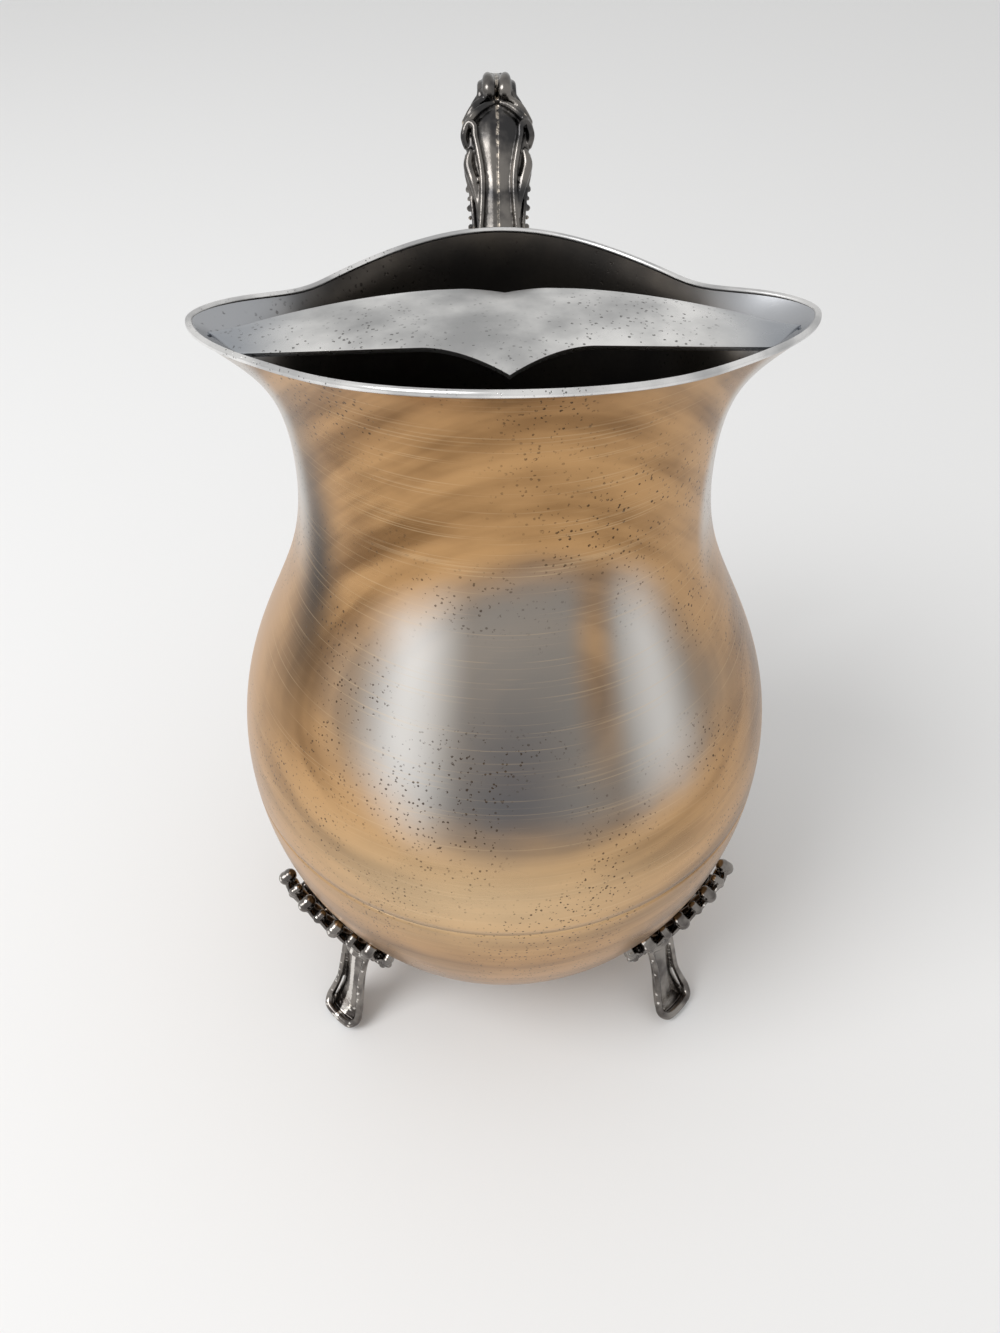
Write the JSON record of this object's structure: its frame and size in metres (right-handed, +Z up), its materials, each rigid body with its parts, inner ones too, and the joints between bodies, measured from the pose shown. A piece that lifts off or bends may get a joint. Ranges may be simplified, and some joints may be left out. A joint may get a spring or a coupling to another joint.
{
  "type": "water pitcher",
  "caption": "Footed silver-plated water pitcher with a flared, winged mouth, a fixed bow-shaped ice guard and a scroll handle.",
  "frame": {"origin": "on the floor, under the middle of the pitcher's box; the axis of the body stands towards the spout from it", "axes": "+X to the right seen from the spout, +Y from the spout towards the handle, +Z up"},
  "size_m": [0.152, 0.1941, 0.2398],
  "materials": {
    "plate_body": "worn silver plate, golden with tarnish and bright satin patches",
    "plate_rim": "bright worn silver plate",
    "plate_guard": "scratched silver plate with fine pits",
    "cast_handle": "dark tarnished cast metal with polished high spots",
    "cast_foot": "bright cast silver plate with dark recesses"
  },
  "bodies": {
    "root": {"body_upper": "plate_body", "bowl_lower": "plate_body", "rim_wire": "plate_rim", "ice_guard": "plate_guard", "handle_half_right": "cast_handle", "handle_half_left": "cast_handle", "foot_front_right": "cast_foot", "foot_rear_right": "cast_foot", "foot_rear_left": "cast_foot", "foot_front_left": "cast_foot"}
  },
  "joints": []
}
